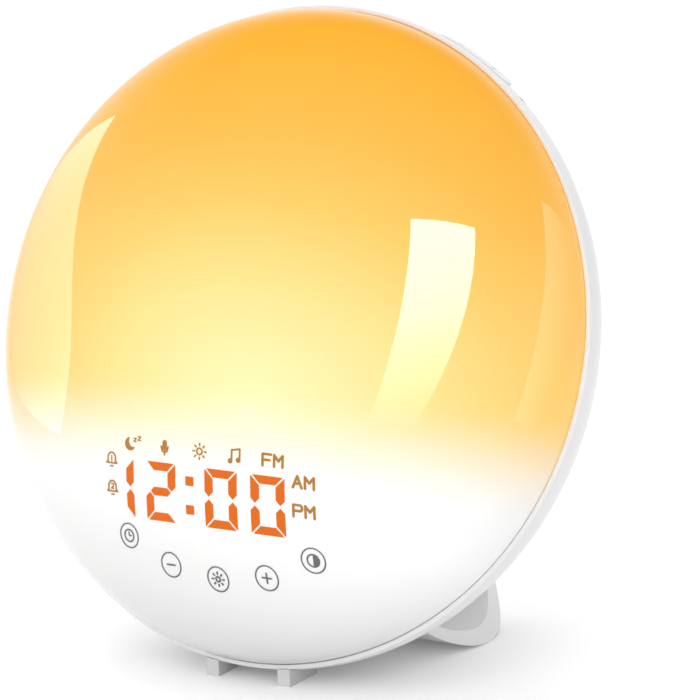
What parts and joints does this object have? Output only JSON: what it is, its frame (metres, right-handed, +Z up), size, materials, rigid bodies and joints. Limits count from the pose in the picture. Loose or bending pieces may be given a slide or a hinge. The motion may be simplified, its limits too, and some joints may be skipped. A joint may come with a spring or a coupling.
{
  "type": "sunrise alarm clock",
  "caption": "Round sunrise alarm clock with a deep opal light dome over a lit display, a volume rocker in its rim, a domed back with a speaker, small feet and a looped rear stand.",
  "frame": {"origin": "on the table, at the middle of the clock's box in plan", "axes": "+Z up, the light dome faces -Y, +X to the right of someone who faces the dome"},
  "size_m": [0.175, 0.1, 0.1693],
  "materials": {
    "opal_plastic": "opal",
    "white_plastic": "satin gloss",
    "grey_rubber": "matte",
    "orange_light": "lit",
    "grey_print": "printed",
    "steel_screw": "zinc plated",
    "nickel_metal": "nickel plated",
    "circuit_board": "solder mask",
    "lamp_chip": "phosphor",
    "white_inner_plastic": "matte",
    "black_component": "matte",
    "socket_plastic": "natural nylon",
    "black_socket": "gloss",
    "lead_insulation": "gloss",
    "ribbon_cable": "gloss"
  },
  "bodies": {
    "clock": {"diffuser_dome": "opal_plastic", "trim_ring": "white_plastic", "rear_shell": "white_plastic", "stand_strap": "white_plastic", "front_foot_left": "grey_rubber", "front_foot_right": "grey_rubber", "microphone_boot": "grey_rubber", "speaker_gasket": "grey_rubber", "touch_columns": "grey_rubber", "speaker_surround": "grey_rubber", "display_digits": "orange_light", "display_icons": "orange_light", "touch_marks": "grey_print", "shell_screws": "steel_screw", "stand_screws": "steel_screw", "tray_screws": "steel_screw", "led_board_screws": "steel_screw", "display_board_screws": "steel_screw", "main_board_screws": "steel_screw", "speaker_screws": "steel_screw", "rocker_pin": "steel_screw", "speaker_mesh": "steel_screw", "microphone": "nickel_metal", "coin_cell": "nickel_metal", "coin_cell_holder": "nickel_metal", "dc_jack_nut": "nickel_metal", "radio_module": "nickel_metal", "rocker_board": "circuit_board", "led_board": "circuit_board", "display_board": "circuit_board", "main_board": "circuit_board", "led_chips": "lamp_chip", "display_leds": "lamp_chip", "light_tray": "white_inner_plastic", "display_tower": "white_inner_plastic", "display_cells": "white_inner_plastic", "rocker_switches": "black_component", "main_board_chips": "black_component", "main_board_capacitors": "black_component", "speaker_frame": "black_component", "speaker_magnet": "black_component", "speaker_cone": "black_component", "board_sockets": "socket_plastic", "dc_jack": "black_socket", "antenna_grommet": "black_socket", "speaker_lead": "lead_insulation", "jack_lead": "lead_insulation", "led_lead": "lead_insulation", "rocker_lead": "lead_insulation", "microphone_lead": "lead_insulation", "display_ribbon": "ribbon_cable"},
    "rocker": {"volume_rocker": "white_plastic"}
  },
  "joints": [
    {"name": "rocker_tilt", "type": "hinge", "parent": "clock", "child": "rocker", "pos_m": [0.03906, 0.02853, 0.15426], "axis": [0, -0.9438, 0.3305], "range_deg": [-2, 2], "stiffness_Nm_per_rad": 0.36}
  ]
}
